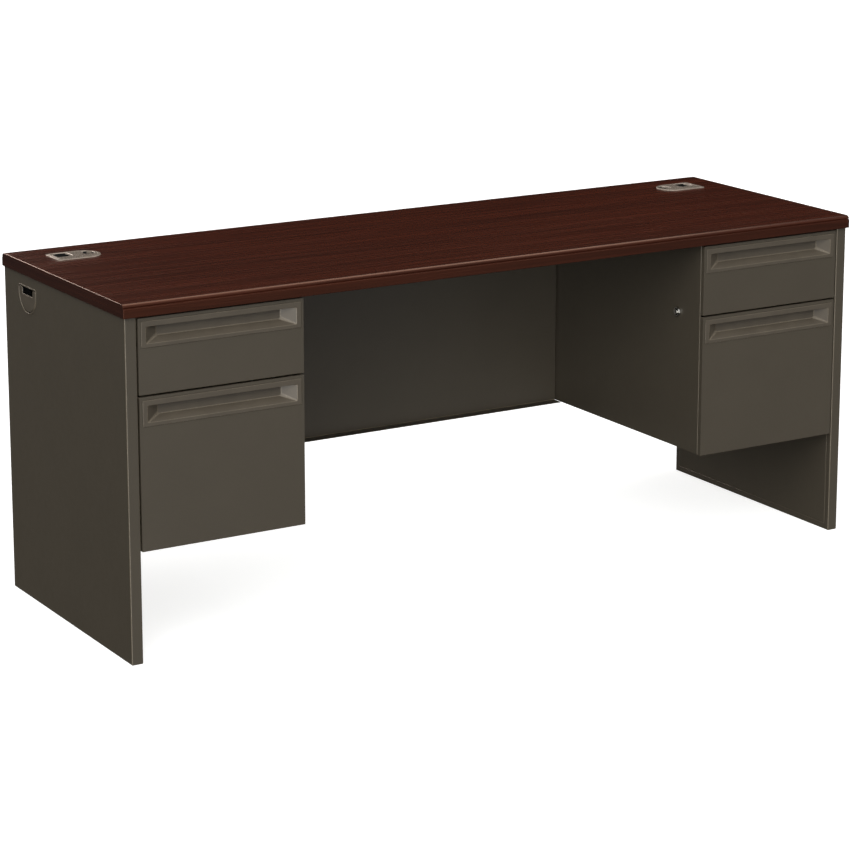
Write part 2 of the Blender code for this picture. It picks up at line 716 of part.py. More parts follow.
def main():
    clear_scene()
    laminate = finish("mahogany_laminate", (0.045, 0.014, 0.011), 0.35, 0.0)
    steel = finish("charcoal_steel", (0.055, 0.046, 0.036), 0.45, 0.3)
    plastic = finish("charcoal_plastic", (0.075, 0.068, 0.055), 0.5, 0.0)
    pewter = finish("pewter_plastic", (0.25, 0.24, 0.21), 0.3, 0.6)
    zinc = finish("zinc_plate", (0.55, 0.56, 0.56), 0.35, 0.9)
    chrome = finish("chrome", (0.7, 0.7, 0.7), 0.12, 1.0)

    worktop(laminate)
    modesty_panel(steel)
    panels = {}
    for side_name, side in SIDES.items():
        panels[side_name] = end_panel(side_name, side, steel)
        pedestal(side_name, side, steel)
        grommet(side_name, side, pewter)
        lock(side_name, side, chrome, zinc)
        for kind in DRAWERS:
            drawer(side_name, side, kind, steel, plastic, zinc)
    side_grommet(*panels["left"], steel, plastic)


main()
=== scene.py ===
"""Kneespace desk: its fine surfaces, finishes, light and camera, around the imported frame.

Metres, +Z up. Pieces that come in pairs are written for the right end of the desk and mirrored in
X for the left end, as in the CAD. Every place comes from the boxes of the CAD's nodes.
"""

import math

import bmesh
import bpy
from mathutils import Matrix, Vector

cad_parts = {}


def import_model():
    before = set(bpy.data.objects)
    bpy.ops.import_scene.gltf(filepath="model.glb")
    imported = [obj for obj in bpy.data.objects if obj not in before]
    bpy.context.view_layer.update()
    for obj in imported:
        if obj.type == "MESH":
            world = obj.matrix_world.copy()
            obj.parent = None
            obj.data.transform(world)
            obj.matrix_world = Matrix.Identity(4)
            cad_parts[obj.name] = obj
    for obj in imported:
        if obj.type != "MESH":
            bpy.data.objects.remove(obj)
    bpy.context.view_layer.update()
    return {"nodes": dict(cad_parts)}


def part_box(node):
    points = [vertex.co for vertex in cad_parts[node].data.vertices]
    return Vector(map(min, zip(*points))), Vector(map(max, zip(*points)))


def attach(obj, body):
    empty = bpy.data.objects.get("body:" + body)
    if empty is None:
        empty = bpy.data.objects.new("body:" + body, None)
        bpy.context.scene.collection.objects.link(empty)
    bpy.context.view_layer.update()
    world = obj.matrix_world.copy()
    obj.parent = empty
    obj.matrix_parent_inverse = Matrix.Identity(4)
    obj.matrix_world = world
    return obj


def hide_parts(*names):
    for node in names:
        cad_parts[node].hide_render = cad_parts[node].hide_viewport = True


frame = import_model()

SIDES = (("left", -1.0), ("right", 1.0))
KINDS = ("box", "file")
SHEET = 0.0012  # the thickness of the folded steel
GAP = 0.0003  # what touching pieces keep clear of each other
PAN_FLOOR = 0.030  # how far in from a pan's walls its floor becomes one face
PAST = 0.01  # how far a cutting tool runs past what it cuts


# ---------------------------------------------------------------- places


def place(node, side=1.0):
    """A CAD node's lowest and highest corners, as if it were on the right end of the desk."""
    low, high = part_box(node)
    if side < 0:
        low.x, high.x = -high.x, -low.x
    return low, high


TOP_LOW, TOP_HIGH = place("worktop")
HEIGHT, UNDERSIDE = TOP_HIGH.z, TOP_LOW.z


# ---------------------------------------------------------------- outlines and paths


def arc(centre, radius, start, end, steps):
    """Points on an arc, from one angle in degrees to another."""
    points = []
    for i in range(steps + 1):
        angle = math.radians(start + (end - start) * i / steps)
        points.append((centre[0] + radius * math.cos(angle), centre[1] + radius * math.sin(angle)))
    return points


def rounded_rectangle(a, b, c, d, radius, steps=6):
    """A rectangle from (a, b) to (c, d) with round corners."""
    radius = max(radius, 0.0002)
    points = arc((c - radius, b + radius), radius, -90, 0, steps)
    points += arc((c - radius, d - radius), radius, 0, 90, steps)
    points += arc((a + radius, d - radius), radius, 90, 180, steps)
    points += arc((a + radius, b + radius), radius, 180, 270, steps)
    return points


def circle(centre, radius, steps=48):
    return arc(centre, radius, 0, 360 - 360 / steps, steps - 1)


def softened(path, reaches, ring=False, steps=5):
    """A path with its corners rounded. Each point is a tuple of sizes, with the level last.

    reaches says how far from each corner its bend starts. Zero keeps the corner.
    """
    if not hasattr(reaches, "__len__"):
        reaches = [reaches] * len(path)
    count = len(path)
    result = []
    for i, point in enumerate(path):
        reach = reaches[i]
        if reach <= 0 or (not ring and i in (0, count - 1)):
            result.append(point)
            continue
        ends = []
        for other in (path[i - 1], path[(i + 1) % count]):
            level = other[-1] - point[-1]
            size = max(math.hypot(o - p, level) for o, p in zip(other[:-1], point[:-1]))
            share = min(0.48, reach / max(size, 1e-9))
            ends.append([p + (o - p) * share for o, p in zip(other, point)])
        for k in range(steps + 1):
            t = k / steps
            weights = ((1 - t) ** 2, 2 * t * (1 - t), t * t)
            rows = zip(ends[0], point, ends[1])
            result.append(tuple(sum(w * v for w, v in zip(weights, row)) for row in rows))
    return result


def rounded_outline(points, radii, steps=5):
    """A closed outline with an arc at each corner whose radius isn't zero."""
    if not hasattr(radii, "__len__"):
        radii = [radii] * len(points)
    result = []
    for i, corner in enumerate(points):
        radius = radii[i]
        if radius <= 0:
            result.append(corner)
            continue
        here = Vector(corner)
        back = Vector(points[i - 1]) - here
        ahead = Vector(points[(i + 1) % len(points)]) - here
        half = back.angle(ahead) / 2
        reach = min(radius / math.tan(half), 0.48 * back.length, 0.48 * ahead.length)
        radius = reach * math.tan(half)
        middle = (back.normalized() + ahead.normalized()).normalized()
        centre = here + middle * (radius / math.sin(half))
        first = here + back.normalized() * reach - centre
        last = here + ahead.normalized() * reach - centre
        start = math.atan2(first.y, first.x)
        sweep = math.atan2(last.y, last.x) - start
        sweep = (sweep + math.pi) % (2 * math.pi) - math.pi
        for k in range(steps + 1):
            angle = start + sweep * k / steps
            x, y = radius * math.cos(angle), radius * math.sin(angle)
            result.append((centre.x + x, centre.y + y))
    return result


AXES = {
    "x": lambda u, v, level: (level, u, v),
    "y": lambda u, v, level: (u, level, v),
    "z": lambda u, v, level: (u, v, level),
}


def set_in(points, axis, level):
    """Outline points placed in the plane across an axis, at a level along it."""
    return [AXES[axis](u, v, level) for u, v in points]


# ---------------------------------------------------------------- meshes


def finished_normals(obj):
    """Smooth bends beside flat faces that stay flat."""
    obj.data.shade_smooth()
    obj.data.set_sharp_from_angle(angle=math.radians(32.0))
    modifier = obj.modifiers.new("flat_faces", "WEIGHTED_NORMAL")
    modifier.keep_sharp = True
    modifier.weight = 60


def mesh_object(name, mesh, materials):
    bmesh.ops.recalc_face_normals(mesh, faces=mesh.faces)
    data = bpy.data.meshes.new(name)
    mesh.to_mesh(data)
    mesh.free()
    for material in materials:
        data.materials.append(material)
    obj = bpy.data.objects.new(name, data)
    bpy.context.scene.collection.objects.link(obj)
    return obj


def add_loft(mesh, loops, side, ring=False):
    """A closed skin through loops of points, each with as many points as the first."""
    rows = [[mesh.verts.new((side * x, y, z)) for x, y, z in loop] for loop in loops]
    pairs = list(zip(rows, rows[1:]))
    if ring:
        pairs.append((rows[-1], rows[0]))
    else:
        mesh.faces.new(rows[0])
        mesh.faces.new(rows[-1])
    for lower, upper in pairs:
        for i in range(len(lower)):
            j = (i + 1) % len(lower)
            mesh.faces.new((lower[i], lower[j], upper[j], upper[i]))


def loft(name, loops, materials, side=1.0, ring=False):
    mesh = bmesh.new()
    add_loft(mesh, loops, side, ring)
    return mesh_object(name, mesh, materials if isinstance(materials, tuple) else (materials,))


def cut(target, tool):
    """Cuts the tool away from the target, and removes the tool."""
    modifier = target.modifiers.new("cut", "BOOLEAN")
    modifier.operation = "DIFFERENCE"
    modifier.solver = "EXACT"
    modifier.object = tool
    bpy.context.view_layer.update()
    graph = bpy.context.evaluated_depsgraph_get()
    result = bpy.data.meshes.new_from_object(target.evaluated_get(graph))
    target.modifiers.remove(modifier)
    old = target.data
    target.data = result
    bpy.data.meshes.remove(old)
    bpy.data.objects.remove(tool)


def pan(name, outline, path, reaches, axis, material, side, ring=False):
    """A loft of an outline, which takes an inset, along a path of (inset, level) points."""
    loops = [set_in(outline(inset), axis, level) for inset, level in softened(path, reaches, ring)]
    return loft(name, loops, material, side, ring)


def punch(target, outline, axis, ends, side):
    """Cuts an outline out of a piece, from one level to another."""
    loops = [set_in(outline, axis, level) for level in ends]
    cut(target, loft("tool", loops, target.data.materials[0], side))


def box_outline(low, high, corner=0.0010):
    """The outline of a box seen along an axis, drawn in by an inset."""

    def outline(inset):
        a, b, c, d = low[0] + inset, low[1] + inset, high[0] - inset, high[1] - inset
        return rounded_rectangle(a, b, c, d, corner - inset, 3)

    return outline


def bar(name, outline, ends, axis, material, side=1.0):
    """An outline drawn out along an axis, with fine bevels at its two ends."""
    obj = loft(name, [set_in(outline, axis, level) for level in ends], material, side)
    bevel = obj.modifiers.new("fine_edges", "BEVEL")
    bevel.width = 0.0003
    bevel.segments = 2
    bevel.angle_limit = math.radians(40)
    bevel.limit_method = "ANGLE"
    return obj


def paint_bend_highlights(obj):
    """Gives the narrow, slanting faces of a piece's bends a lighter, smoother finish as a painted
    highlight.
    """
    finish = BEND_HIGHLIGHT_PAINTS.get(obj.data.materials[0].name)
    if finish is None:
        return
    narrow, upright = 0.0012, 0.985
    obj.data.materials.append(finish)
    last = len(obj.data.materials) - 1
    for face in obj.data.polygons:
        if face.material_index:
            continue
        corners = [obj.data.vertices[i].co for i in face.vertices]
        girth = sum((a - b).length for a, b in zip(corners, corners[1:] + corners[:1]))
        slants = max(abs(part) for part in face.normal) < upright
        if slants and face.area < narrow * girth / 2:
            face.material_index = last


def settle(obj, body, slot, *nodes):
    """Gives a piece its shading and its body, and hides the CAD nodes that it stands for; slot is
    not used.
    """
    finished_normals(obj)
    paint_bend_highlights(obj)
    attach(obj, body)
    if nodes:
        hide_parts(*nodes)
    return obj


# ---------------------------------------------------------------- finishes


class Finish:
    """A Principled material, with short ways to add the nodes that pattern it."""

    def __init__(self, name):
        self.material = bpy.data.materials.new(name)
        self.material.use_nodes = True
        self.tree = self.material.node_tree
        self.shader = self.tree.nodes["Principled BSDF"]
        self.place = self.node("TexCoord").outputs["Object"]

    def node(self, kind, **settings):
        node = self.tree.nodes.new("ShaderNode" + kind)
        for key, value in settings.items():
            setattr(node, key, value)
        return node

    def link(self, output, target):
        self.tree.links.new(output, target)

    def put(self, socket, value):
        self.shader.inputs[socket].default_value = value

    def scaled(self, vector, scale):
        """Coordinates with a scale for each axis."""
        node = self.node("Mapping")
        node.inputs["Scale"].default_value = scale
        self.link(vector, node.inputs["Vector"])
        return node.outputs["Vector"]

    def noise(self, vector, scale, detail=2.0, roughness=0.5):
        node = self.node("TexNoise")
        node.inputs["Scale"].default_value = scale
        node.inputs["Detail"].default_value = detail
        node.inputs["Roughness"].default_value = roughness
        self.link(vector, node.inputs["Vector"])
        return node.outputs["Fac"]

    def ramp(self, factor, stops):
        """A colour ramp through (position, colour or grey) stops."""
        node = self.node("ValToRGB")
        elements = node.color_ramp.elements
        while len(elements) < len(stops):
            elements.new(0.5)
        for element, (position, colour) in zip(elements, stops):
            element.position = position
            colour = colour if hasattr(colour, "__len__") else (colour,) * 3
            element.color = (*colour, 1.0)
        self.link(factor, node.inputs["Fac"])
        return node.outputs["Color"]

    def span(self, factor, low, high, start=0.0, end=1.0):
        """A number moved from the range start to end into the range low to high."""
        node = self.node("MapRange")
        node.inputs["From Min"].default_value = start
        node.inputs["From Max"].default_value = end
        node.inputs["To Min"].default_value = low
        node.inputs["To Max"].default_value = high
        self.link(factor, node.inputs["Value"])
        return node.outputs["Result"]

    def multiply(self, share, first, second):
        """One colour multiplied by a share of another."""
        node = self.node("Mix", data_type="RGBA", blend_type="MULTIPLY")
        node.inputs[0].default_value = share
        self.link(first, node.inputs[6])
        self.link(second, node.inputs[7])
        return node.outputs[2]

    def bump(self, height, distance, under=None):
        node = self.node("Bump")
        node.inputs["Distance"].default_value = distance
        node.inputs["Strength"].default_value = 1.0
        self.link(height, node.inputs["Height"])
        if under is not None:
            self.link(under, node.inputs["Normal"])
        return node.outputs["Normal"]

    def use(self, socket, output):
        self.link(output, self.shader.inputs[socket])


def shade(colour, share):
    return tuple(part * share for part in colour)


def powder_coat(name, colour, roughness, grain=1.0, speckle=0.03):
    """Baked paint: an even colour with faint mottling over fine orange peel."""
    f = Finish(name)
    cloud = f.noise(f.place, 9.0, 3.0, 0.55)
    tones = ((0.30, shade(colour, 1.0 - speckle)), (0.70, shade(colour, 1.0 + speckle)))
    base = f.ramp(cloud, tones)
    flecks = f.ramp(f.noise(f.place, 1400.0, 1.0, 0.5), ((0.32, 0.86), (0.68, 1.12)))
    f.use("Base Color", f.multiply(0.55, base, flecks))
    f.use("Roughness", f.span(f.noise(f.place, 60.0), roughness - 0.05, roughness + 0.05))
    f.use("Normal", f.bump(f.noise(f.place, 900.0 * grain, 2.0, 0.55), 0.00006))
    return f.material


def moulded_plastic(name, colour, roughness, grain=1.0):
    """Moulded plastic with a fine spark-eroded grain."""
    f = Finish(name)
    tones = ((0.30, shade(colour, 0.92)), (0.70, shade(colour, 1.08)))
    base = f.ramp(f.noise(f.place, 25.0), tones)
    flecks = f.ramp(f.noise(f.place, 1800.0, 1.0), ((0.35, 0.9), (0.65, 1.08)))
    f.use("Base Color", f.multiply(0.5, base, flecks))
    f.use("Roughness", f.span(f.noise(f.place, 300.0), roughness - 0.05, roughness + 0.06))
    f.use("Normal", f.bump(f.noise(f.place, 1500.0 * grain, 2.0, 0.6), 0.00004))
    return f.material


def plated_metal(name, colour, roughness, along, metallic=1.0):
    """Rolled or drawn metal: fine lines along one axis, and soft clouds in its shine."""
    f = Finish(name)
    stretch = tuple(30.0 if axis == along else 2200.0 for axis in "xyz")
    lines = f.noise(f.scaled(f.place, stretch), 1.0, 2.0, 0.6)
    tint = f.ramp(f.noise(f.place, 45.0, 3.0, 0.6), ((0.3, shade(colour, 0.88)), (0.7, colour)))
    f.use("Base Color", f.multiply(0.3, tint, f.ramp(lines, ((0.3, 0.75), (0.7, 1.0)))))
    f.use("Roughness", f.span(lines, roughness - 0.06, roughness + 0.08))
    f.use("Normal", f.bump(lines, 0.00003))
    f.put("Metallic", metallic)
    return f.material


def grain_laminate(name, along, tone):
    """Mahogany wood-grain laminate under a satin coat, with its grain along one axis."""
    f = Finish(name)

    def figure(vector, length, width, detail=2.0, roughness=0.5):
        """Noise whose blots are so long along the grain, and so wide across it."""
        scale = tuple(1 / length if axis == along else 1 / width for axis in "xyz")
        return f.noise(f.scaled(vector, scale), 1.0, detail, roughness)

    # The figure drifts slowly sideways, so that no streak is quite straight.
    shift = f.node("VectorMath", operation="MULTIPLY_ADD")
    f.link(figure(f.place, 0.55, 0.11), shift.inputs[0])
    shift.inputs[1].default_value = tuple(0.0 if axis == along else 0.020 for axis in "xyz")
    f.link(f.place, shift.inputs[2])
    wavy = shift.outputs[0]

    broad = figure(wavy, 0.80, 0.045)
    streak = figure(wavy, 0.55, 0.0080, 3.0, 0.6)
    thread = figure(wavy, 0.26, 0.0024, 2.0, 0.6)
    pore = figure(wavy, 0.030, 0.0007, 1.0)
    base = f.ramp(broad, ((0.30, shade(tone, 0.84)), (0.52, tone), (0.72, shade(tone, 1.16))))
    streaks = f.ramp(streak, ((0.34, 0.66), (0.50, 1.0), (0.66, 1.24)))
    threads = f.ramp(thread, ((0.32, 0.86), (0.68, 1.12)))
    pores = f.ramp(pore, ((0.28, 0.70), (0.40, 1.0)))
    colour = f.multiply(0.9, base, streaks)
    colour = f.multiply(0.8, colour, threads)
    f.use("Base Color", f.multiply(0.5, colour, pores))
    f.use("Roughness", f.span(streak, 0.23, 0.29, 0.3, 0.7))
    f.use("Normal", f.bump(f.noise(f.place, 500.0), 0.00001, f.bump(pore, 0.00002)))
    f.put("Specular IOR Level", 0.5)
    f.put("Specular Tint", (1.0, 0.57, 0.40, 1.0))
    return f.material


STEEL_COLOUR = (0.0965, 0.0807, 0.0575)
# The top's laminate is lighter than the edge's: partly the edge banding's own colour, partly
# painted light on the top.
laminate = grain_laminate("mahogany_laminate", "x", (0.0655, 0.0102, 0.0028))
laminate_edge = grain_laminate("mahogany_edge", "x", (0.0500, 0.0115, 0.0058))
laminate_end = grain_laminate("mahogany_edge_end", "y", (0.0400, 0.0100, 0.0050))
backer = moulded_plastic("worktop_backer", (0.030, 0.018, 0.013), 0.6)
steel = powder_coat("charcoal_powder_coat", STEEL_COLOUR, 0.42)
# Painted highlight: the steel's colour made 2.1 times lighter, and smoother, for the faces of its
# bends.
steel_bend_highlight = powder_coat("charcoal_powder_coat_bend_highlight", shade(STEEL_COLOUR, 2.1), 0.26, 1.0, 0.05)
tray_paint = powder_coat("charcoal_tray_paint", (0.088, 0.073, 0.052), 0.36, 0.7)
plastic = moulded_plastic("charcoal_moulding", (0.1210, 0.1005, 0.0735), 0.36)
pewter = moulded_plastic("pewter_moulding", (0.29, 0.242, 0.196), 0.26, 0.8)
# Painted highlights: lighter, smoother copies of the pewter and the charcoal moulding, for their
# bends and the grommet lids' walls.
pewter_rim_highlight = moulded_plastic("pewter_moulding_rim_highlight", (0.50, 0.43, 0.36), 0.20, 0.8)
plastic_rim_highlight = moulded_plastic("charcoal_moulding_rim_highlight", (0.2050, 0.1720, 0.1260), 0.26)
# Each finish's lighter copy, which its bends get as a painted highlight.
BEND_HIGHLIGHT_PAINTS = {steel.name: steel_bend_highlight, plastic.name: plastic_rim_highlight, pewter.name: pewter_rim_highlight}
zinc = plated_metal("bright_zinc", (0.56, 0.57, 0.57), 0.34, "y", 0.95)
chrome = plated_metal("polished_nickel", (0.72, 0.71, 0.68), 0.14, "x")
# Near-black moulding: partly a black cup inside the grommets, partly painted shade inside holes and
# gaps.
black_moulding_painted_shade = moulded_plastic("black_moulding_painted_shade", (0.006, 0.006, 0.0055), 0.6)


# ---------------------------------------------------------------- worktop


def worktop_section(inset):
    """The slab's outline across its length: a nosing with a bead groove, front and back."""
    half, top, under = TOP_HIGH.y - inset, HEIGHT - inset, UNDERSIDE + inset
    radius, foot = 0.0110 - inset, max(0.0012 - inset, 0.0002)
    right = arc((half - foot, under + foot), foot, -90, 0, 3)
    groove_start, groove_end, groove_depth = 4.0, 32.0, 0.0021
    for k in range(61):
        angle = 90.0 * k / 60
        share = (angle - groove_start) / (groove_end - groove_start)
        dip = groove_depth * math.sin(math.pi * share) ** 2 if 0 < share < 1 else 0.0
        turn = math.radians(angle)
        y = half - radius + (radius - dip) * math.cos(turn)
        right.append((y, top - radius + (radius - dip) * math.sin(turn)))
    return right + [(-y, z) for y, z in reversed(right)]


def worktop():
    edge = 0.0012
    loops = []
    for end in (-1, 1):
        turns = [math.radians(90.0 * k / 5) for k in range(6)]
        if end < 0:
            turns.reverse()
        for turn in turns:
            x = end * (TOP_HIGH.x - edge + edge * math.sin(turn))
            loops.append(set_in(worktop_section(edge - edge * math.cos(turn)), "x", x))
    top = loft("worktop_laminate", loops, (laminate, laminate_end, backer, laminate_edge))
    for side_name, side in SIDES:
        hole = grommet_outline(side_name, side)(SLEEVE_INSET - GAP)
        punch(top, hole, "z", (UNDERSIDE - PAST, HEIGHT + PAST), side)
    for face in top.data.polygons:
        if abs(face.normal.x) > 0.8 and abs(abs(face.center.x) - TOP_HIGH.x) < 0.002:
            face.material_index = 1
        elif face.normal.z < -0.9:
            face.material_index = 2
        else:
            face.material_index = 0 if face.normal.z > 0.9999 else 3
    settle(top, "root", "laminate_top", "worktop")


# ---------------------------------------------------------------- grommets


SLEEVE_INSET = 0.0045
# The lid's openings: two opposite corners from the grommet's centre, and the corner radius.
LID_OPENINGS = ((0.008, -0.006, 0.042, 0.031, 0.004), (-0.045, -0.006, -0.020, 0.026, 0.009))

def grommet_outline(side_name, side):
    """A grommet's outline in plan: square towards the end of the desk, round towards the middle."""
    low, high = place(f"{side_name}_grommet_sleeve", side)
    y, half_depth = (low.y + high.y) / 2, (high.y - low.y) / 2

    def outline(inset):
        depth = half_depth - inset
        corner = max(0.0100 - inset * 0.8, 0.0015)
        points = arc((high.x - inset - corner, y - depth + corner), corner, -90, 0, 8)
        points += arc((high.x - inset - corner, y + depth - corner), corner, 0, 90, 8)
        points += arc((low.x + inset + depth, y), depth, 90, 270, 40)
        return points

    return outline


def repaint(obj, material, chosen):
    """Gives the faces of a piece whose middle and normal are chosen another finish."""
    obj.data.materials.append(material)
    for face in obj.data.polygons:
        if chosen(face.center, face.normal):
            face.material_index = len(obj.data.materials) - 1


def grommet(side_name, side):
    outline = grommet_outline(side_name, side)
    low, high = place(f"{side_name}_grommet_sleeve", side)
    rim, bore, ledge = 0.0055, 0.0070, HEIGHT - 0.0040
    path = [
        (0.0, HEIGHT + GAP),
        (0.0, high.z),
        (rim, high.z),
        (rim, ledge),
        (bore, ledge),
        (bore, UNDERSIDE),
        (SLEEVE_INSET, UNDERSIDE),
        (SLEEVE_INSET, HEIGHT + GAP),
    ]
    reaches = [0, 0.0014, 0.0005, 0, 0.0004, 0.0004, 0, 0]
    sleeve = pan(f"{side_name}_grommet_ring", outline, path, reaches, "z", pewter, side, True)
    # Painted shade: the sleeve's inside below the ledge is near-black.
    repaint(sleeve, black_moulding_painted_shade, lambda spot, normal: spot.z < ledge)
    settle(sleeve, "root", "grommet_pewter", f"{side_name}_grommet_sleeve")

    cap_low, cap_high = place(f"{side_name}_grommet_cap", side)
    skirt, edge, plate, wall, lip = bore + GAP, rim + GAP, 0.0040, 0.0016, 0.0012
    path = [
        (skirt + wall + 0.0120, cap_high.z - plate),
        (skirt + wall, cap_high.z - plate),
        (skirt + wall, cap_low.z),
        (skirt, cap_low.z),
        (skirt, ledge + GAP),
        (edge, ledge + GAP),
        (edge, cap_high.z),
        (edge + 0.0100, cap_high.z),
    ]
    reaches = [0, 0.0008, 0.0004, 0.0004, 0, 0.0004, 0.0010, 0]
    cap = pan(f"{side_name}_grommet_lid", outline, path, reaches, "z", pewter, side)
    x, y = (low.x + high.x) / 2, (low.y + high.y) / 2
    steps = [(0.0, UNDERSIDE)]
    steps += [(lip - u, cap_high.z - lip + v) for u, v in arc((0.0, 0.0), lip, 0, 90, 6)]
    steps += [(lip, cap_high.z + PAST)]
    for a, b, c, d, corner in LID_OPENINGS:
        loops = []
        for grow, z in steps:
            sizes = grown((x + a, y + b, x + c, y + d), grow)
            loops.append(set_in(rounded_rectangle(*sizes, corner + grow), "z", z))
        cut(cap, loft("tool", loops, pewter, side))
    walls_from, inside_below = ledge + GAP + 0.0001, cap_high.z - plate + 0.0001
    # Painted highlight: the lid's steep faces above the ledge, the walls of its openings and of its
    # edge, get the lighter pewter.
    repaint(cap, pewter_rim_highlight, lambda spot, normal: abs(normal.z) < 0.7 and spot.z > walls_from)
    # Painted shade: the lid's underside and skirt are near-black.
    repaint(cap, black_moulding_painted_shade, lambda spot, normal: spot.z < inside_below)
    settle(cap, f"{side_name}_grommet_cap", "grommet_pewter", f"{side_name}_grommet_cap")


PORT_NECK = 0.0019


def port_outline(inset):
    """The side port in (y, z): flat along the top and half round below."""
    low, high = place("side_grommet_sleeve", -1.0)
    y, radius, top = (low.y + high.y) / 2, (high.y - low.y) / 2 - inset, high.z - inset
    centre = low.z + (high.y - low.y) / 2
    corner = max(0.0055 - inset, 0.0006)
    points = arc((y + radius - corner, top - corner), corner, 0, 90, 6)
    points += arc((y - radius + corner, top - corner), corner, 90, 180, 6)
    points += arc((y, centre), radius, 180, 360, 48)
    return points


def cover_outline(inset):
    """The side port's cover in (y, z): two ears with a slot between them, and half round below."""
    low, high = place("side_grommet_sleeve", -1.0)
    play, slot_half, slot_depth, ear, foot = 0.0052, 0.0268, 0.0192, 0.0036, 0.0020
    y, centre = (low.y + high.y) / 2, low.z + (high.y - low.y) / 2
    radius, top = (high.y - low.y) / 2 - play - inset, high.z - play - inset
    half, bottom = slot_half + inset, high.z - slot_depth - inset
    right = [(y + radius, centre), (y + radius, top), (y + half, top), (y + half, bottom)]
    left = [(2 * y - u, v) for u, v in reversed(right)]
    radii = [0.0, ear, ear, foot]
    below = arc((y, centre), radius, 180, 360, 48)[1:-1]
    return rounded_outline(right + left, radii + radii[::-1]) + below


def side_port():
    low, high = place("side_grommet_sleeve", -1.0)
    cover_low, cover_high = place("side_grommet_cover", -1.0)
    panel_out = place("left_end_panel", -1.0)[1].x
    bore, neck = 0.0032, PORT_NECK
    path = [
        (0.0, panel_out + GAP),
        (0.0, high.x),
        (bore, high.x),
        (bore, low.x),
        (neck, low.x),
        (neck, panel_out + GAP),
    ]
    reaches = [0, 0.0014, 0.0014, 0.0003, 0.0003, 0]
    ring = pan("side_port_ring", port_outline, path, reaches, "x", plastic, -1.0, True)
    # Painted shade: the port ring's bore, deeper than 1.6 mm behind its face, is near-black.
    repaint(ring, black_moulding_painted_shade, lambda spot, normal: -spot.x < high.x - 0.0016)
    settle(ring, "root", "body_plastic", "side_grommet_sleeve")

    border = 0.0014
    path = [
        (border, cover_low.x),
        (0.0, cover_low.x),
        (0.0, cover_high.x),
        (border, cover_high.x),
    ]
    reaches = [0, 0.0003, 0.0012, 0]
    cover = pan("side_port_cover", cover_outline, path, reaches, "x", plastic, -1.0)
    # Painted shade: the cover's edges, deeper than 1.4 mm behind its face, are near-black.
    repaint(cover, black_moulding_painted_shade, lambda spot, normal: -spot.x < cover_high.x - 0.0014)
    settle(cover, "side_grommet_cover", "body_plastic", "side_grommet_cover")


# ---------------------------------------------------------------- panels and pedestals


def end_panel(side_name, side):
    low, high = place(f"{side_name}_end_panel", side)
    lip, bend = 0.0140, 0.0024
    outline = box_outline((low.y, low.z), (high.y, high.z), 0.0012)
    path = [
        (0.040, high.x),
        (0.0, high.x),
        (0.0, low.x),
        (lip, low.x),
        (lip, low.x + SHEET),
        (SHEET, low.x + SHEET),
        (SHEET, high.x - SHEET),
        (0.040, high.x - SHEET),
    ]
    reaches = [0, bend, bend, 0.0005, 0.0005, bend - SHEET, bend - SHEET, 0]
    panel = pan(f"{side_name}_end_panel_shell", outline, path, reaches, "x", steel, side)
    liner_low, liner_high = place(f"{side_name}_end_liner", side)
    raised = lip + 0.0008
    path = [
        (0.060, liner_low.x),
        (raised, liner_low.x),
        (raised, liner_high.x - SHEET),
        (0.0015, liner_high.x - SHEET),
        (0.0015, liner_high.x),
        (raised + SHEET, liner_high.x),
        (raised + SHEET, liner_low.x + SHEET),
        (0.060, liner_low.x + SHEET),
    ]
    reaches = [0, 0.0010, 0, 0, 0, 0, 0, 0]
    liner = pan(f"{side_name}_end_liner_sheet", outline, path, reaches, "x", steel, side)
    if side < 0:
        for piece in (panel, liner):
            punch(piece, port_outline(PORT_NECK - GAP), "x", (low.x - PAST, high.x + PAST), side)
    settle(panel, "root", "body_steel", f"{side_name}_end_panel")
    settle(liner, "root", "body_steel", f"{side_name}_end_liner")


LOCK_BARREL = 0.0090


def lock_axis(side_name, side):
    """The (y, z) of a lock's centre line."""
    low, high = place(f"{side_name}_lock_housing", side)
    return ((low.y + high.y) / 2, (low.z + high.z) / 2)


